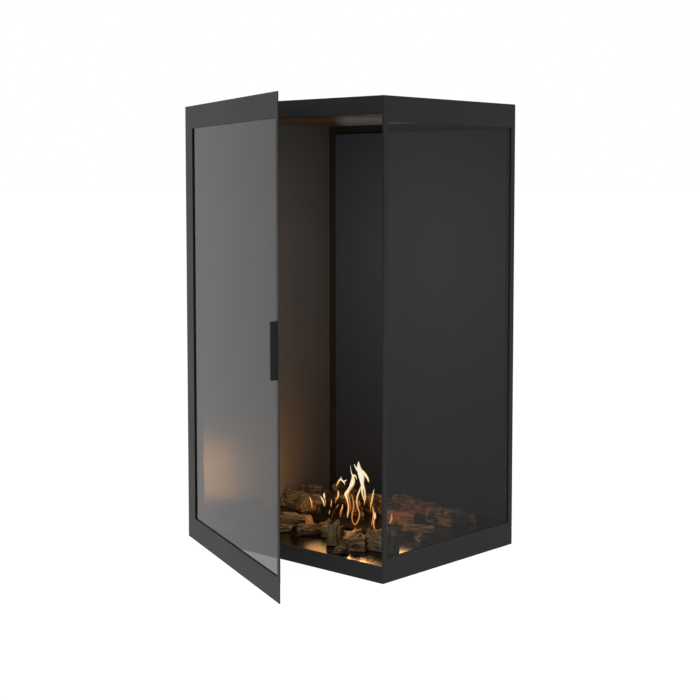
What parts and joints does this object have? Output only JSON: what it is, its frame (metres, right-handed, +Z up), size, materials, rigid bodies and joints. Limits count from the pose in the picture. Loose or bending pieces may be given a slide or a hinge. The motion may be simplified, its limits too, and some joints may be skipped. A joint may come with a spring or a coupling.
{
  "type": "corner bioethanol fireplace",
  "caption": "Tall black corner fireplace with a hinged glass door, a fixed glass side, a fuel burner with a sliding shutter and loose ceramic logs.",
  "frame": {"origin": "centre of the casing's underside", "axes": "+Z up, -Y out of the door, +X out of the fixed glass, +Y and -X towards the closed walls"},
  "size_m": [0.6019, 0.7106, 1],
  "materials": {
    "black_steel": "matt black powder coat",
    "handle_black": "satin black",
    "liner_steel": "satin heat-proof dark paint",
    "deck_steel": "satin heat-proof black paint",
    "inner_steel": "matt black",
    "pivot_steel": "satin black",
    "clear_glass": "smoke-tinted heat-proof glass",
    "black_glass": "black polished glass",
    "seal_rubber": "matt black silicone",
    "board": "dusty calcium silicate board",
    "stainless": "brushed, heat tinted",
    "screw_steel": "blackened",
    "bearing_brass": "machined",
    "magnet_iron": "sintered",
    "wick_ceramic": "fibrous ceramic wool",
    "log_ceramic": "rough bark and split grain",
    "log_red": "rough red-brown grain"
  },
  "bodies": {
    "casing": {"back_casing_panel": "black_steel", "back_glass_panel": "black_glass", "back_liner": "liner_steel", "back_panel_spacers": "seal_rubber", "base_pan": "black_steel", "burner_screws": "screw_steel", "burner_tank": "stainless", "burner_top_plate": "stainless", "burner_wick": "wick_ceramic", "casing_screws": "screw_steel", "ceiling_insulation": "board", "ceiling_liner": "liner_steel", "deck_rail_left": "inner_steel", "deck_rail_right": "inner_steel", "door_magnets": "magnet_iron", "floor_deck": "deck_steel", "front_frame": "black_steel", "hinge_bracket_bottom": "pivot_steel", "hinge_bracket_top": "pivot_steel", "hinge_pins": "screw_steel", "left_casing_panel": "black_steel", "left_insulation": "board", "left_liner": "liner_steel", "log_back_left": "log_ceramic", "log_far_left": "log_ceramic", "log_far_right": "log_ceramic", "log_front_left": "log_ceramic", "log_front_middle": "log_ceramic", "log_front_slab": "log_ceramic", "log_front_stub": "log_ceramic", "log_front_wedge": "log_ceramic", "log_long_red": "log_red", "log_rear_left": "log_ceramic", "log_rear_middle": "log_ceramic", "log_rear_right": "log_ceramic", "log_right_bar": "log_ceramic", "log_right_group": "log_ceramic", "log_short_red": "log_red", "shutter_guides": "stainless", "side_frame": "black_steel", "side_glass": "clear_glass", "side_glass_gasket": "seal_rubber", "side_glass_head": "inner_steel", "side_glass_rear_clip": "inner_steel", "side_glass_sill": "inner_steel", "thrust_washers": "bearing_brass", "top_cover": "black_steel", "wood_chips": "log_ceramic"},
    "door": {"door_frame": "black_steel", "door_glass": "clear_glass", "door_glass_gasket": "seal_rubber", "door_retainer_top": "inner_steel", "door_retainer_bottom": "inner_steel", "door_retainer_hinge": "inner_steel", "retainer_screws": "screw_steel", "door_handle": "handle_black", "hinge_lugs": "pivot_steel", "hinge_bushes": "bearing_brass"},
    "shutter": {"burner_shutter": "stainless", "shutter_knob": "stainless"}
  },
  "joints": [
    {"name": "door_hinge", "type": "hinge", "parent": "casing", "child": "door", "pos_m": [-0.294, -0.2215, 0.5], "axis": [0, 0, -1], "range_deg": [-24.3, 75.7]},
    {"name": "shutter_slide", "type": "slide", "parent": "casing", "child": "shutter", "axis": [0, -1, 0], "range_m": [0, 0.04]}
  ]
}
